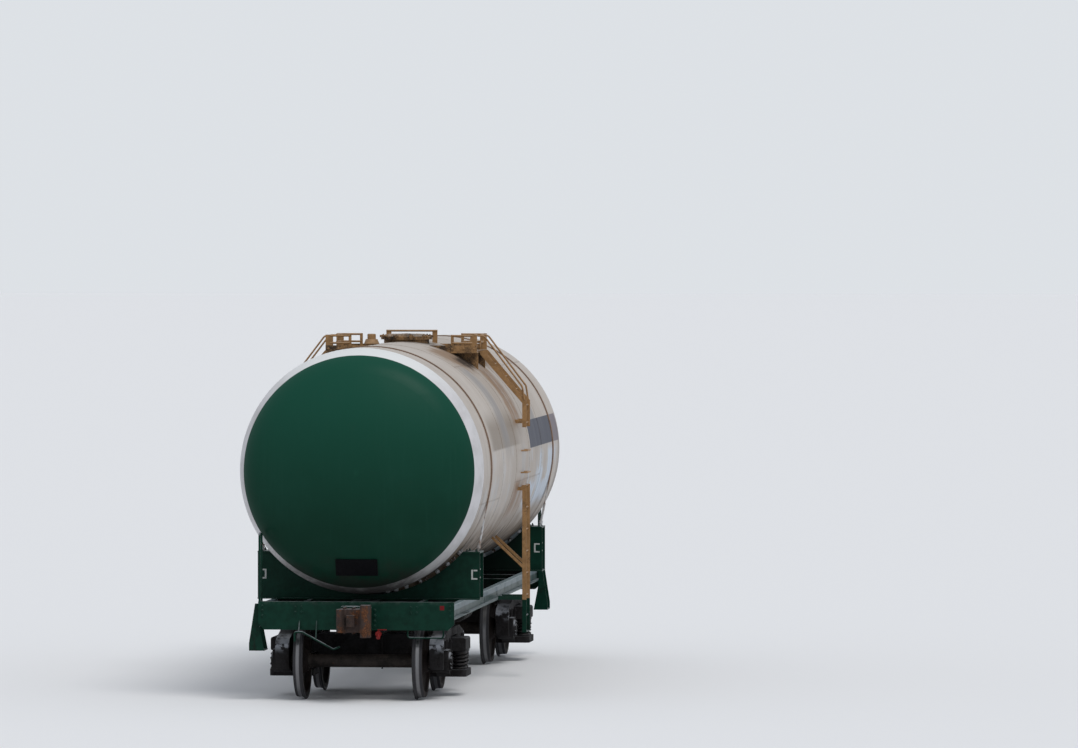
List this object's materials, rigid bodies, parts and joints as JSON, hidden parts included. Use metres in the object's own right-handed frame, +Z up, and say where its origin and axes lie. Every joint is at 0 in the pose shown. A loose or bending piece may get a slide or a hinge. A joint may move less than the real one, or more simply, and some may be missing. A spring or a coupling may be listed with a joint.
{
  "type": "railway tank car",
  "caption": "Four-axle railway tank car for light petroleum, cream barrel with green dished ends, on two cast bogies of 1520 mm gauge.",
  "frame": {"origin": "under the middle of the car, level with the lowest point of the wheel flanges", "axes": "+X along the car towards the end shown in the picture, +Y across the car to the right in the picture, +Z up"},
  "size_m": [12.23, 3.392, 4.7578],
  "materials": {
    "barrel_paint": "cream paint with brown and grey run-off streaks, dusty, darker underneath",
    "green_paint": "dark green gloss paint, slightly chalked, dust on ledges",
    "ochre_paint": "ochre tan paint, oil stained",
    "strap_steel": "brown painted steel band",
    "grimy_steel": "cast and rolled steel under brown-black grime",
    "wheel_steel": "rolled steel, bright worn tread, rust-brown plate",
    "rusty_casting": "bare cast steel with brown rust",
    "pad_wood": "oiled softwood beams, dark with age",
    "plate_black": "black enamel, blank",
    "red_paint": "red paint on cast cocks, chipped and dusty"
  },
  "bodies": {
    "car": {"barrel_rungs": "ochre_paint", "blank_plate": "plate_black", "body_bolsters": "green_paint", "bottom_outlet": "grimy_steel", "brake_cylinder": "grimy_steel", "brake_distributor": "grimy_steel", "brake_reservoir": "grimy_steel", "brake_rigging": "grimy_steel", "centre_plates": "grimy_steel", "centre_sill": "green_paint", "centring_beams": "grimy_steel", "corner_steps": "green_paint", "coupler_strikers": "green_paint", "cross_bearers": "green_paint", "draft_gears": "grimy_steel", "end_cocks": "red_paint", "end_stringers": "green_paint", "headstocks": "green_paint", "ladder_brackets": "ochre_paint", "ladder_handrails": "ochre_paint", "ladder_steps": "green_paint", "lower_ladders": "ochre_paint", "manhole_neck": "ochre_paint", "saddle_pads": "pad_wood", "saddles": "green_paint", "safety_valve": "ochre_paint", "shunter_handles": "green_paint", "side_sills": "green_paint", "tank_anchors": "green_paint", "tank_barrel": "barrel_paint", "tank_dishes": "green_paint", "tank_straps": "strap_steel", "train_pipe": "grimy_steel", "uncoupling_levers": "green_paint", "upper_ladders": "ochre_paint", "upper_side_bearers": "grimy_steel", "walkway_decks": "ochre_paint", "walkway_railings": "ochre_paint"},
    "coupler_front": {"coupler_front": "rusty_casting"},
    "coupler_rear": {"coupler_rear": "rusty_casting"},
    "manhole_lid": {"manhole_lid": "ochre_paint"},
    "bogie_front": {"bogie_front_axle_boxes": "grimy_steel", "bogie_front_bolster": "grimy_steel", "bogie_front_brake_beams": "grimy_steel", "bogie_front_side_frames": "grimy_steel", "bogie_front_springs": "grimy_steel"},
    "bogie_rear": {"bogie_rear_axle_boxes": "grimy_steel", "bogie_rear_bolster": "grimy_steel", "bogie_rear_brake_beams": "grimy_steel", "bogie_rear_side_frames": "grimy_steel", "bogie_rear_springs": "grimy_steel"},
    "wheelset_1": {"wheelset_1_axle": "grimy_steel", "wheelset_1_wheels": "wheel_steel"},
    "wheelset_2": {"wheelset_2_axle": "grimy_steel", "wheelset_2_wheels": "wheel_steel"},
    "wheelset_3": {"wheelset_3_axle": "grimy_steel", "wheelset_3_wheels": "wheel_steel"},
    "wheelset_4": {"wheelset_4_axle": "grimy_steel", "wheelset_4_wheels": "wheel_steel"}
  },
  "joints": [
    {"name": "bogie_front_swivel", "type": "hinge", "parent": "car", "child": "bogie_front", "pos_m": [3.9, 0, 0.834], "axis": [0, 0, 1], "range_deg": [-3, 3]},
    {"name": "bogie_rear_swivel", "type": "hinge", "parent": "car", "child": "bogie_rear", "pos_m": [-3.9, 0, 0.834], "axis": [0, 0, 1], "range_deg": [-3, 3]},
    {"name": "wheelset_1_spin", "type": "hinge", "parent": "bogie_front", "child": "wheelset_1", "pos_m": [4.825, 0, 0.5065], "axis": [0, 1, 0], "continuous": true},
    {"name": "wheelset_2_spin", "type": "hinge", "parent": "bogie_front", "child": "wheelset_2", "pos_m": [2.975, 0, 0.5065], "axis": [0, 1, 0], "continuous": true},
    {"name": "wheelset_3_spin", "type": "hinge", "parent": "bogie_rear", "child": "wheelset_3", "pos_m": [-2.975, 0, 0.5065], "axis": [0, 1, 0], "continuous": true},
    {"name": "wheelset_4_spin", "type": "hinge", "parent": "bogie_rear", "child": "wheelset_4", "pos_m": [-4.825, 0, 0.5065], "axis": [0, 1, 0], "continuous": true},
    {"name": "coupler_front_swing", "type": "hinge", "parent": "car", "child": "coupler_front", "pos_m": [5.2, 0, 1.088], "axis": [0, 0, 1], "range_deg": [-5, 5]},
    {"name": "coupler_rear_swing", "type": "hinge", "parent": "car", "child": "coupler_rear", "pos_m": [-5.2, 0, 1.088], "axis": [0, 0, 1], "range_deg": [-5, 5]},
    {"name": "manhole_lid_hinge", "type": "hinge", "parent": "car", "child": "manhole_lid", "pos_m": [-0.41, 0, 4.682], "axis": [0, -1, 0], "range_deg": [0, 110]}
  ]
}
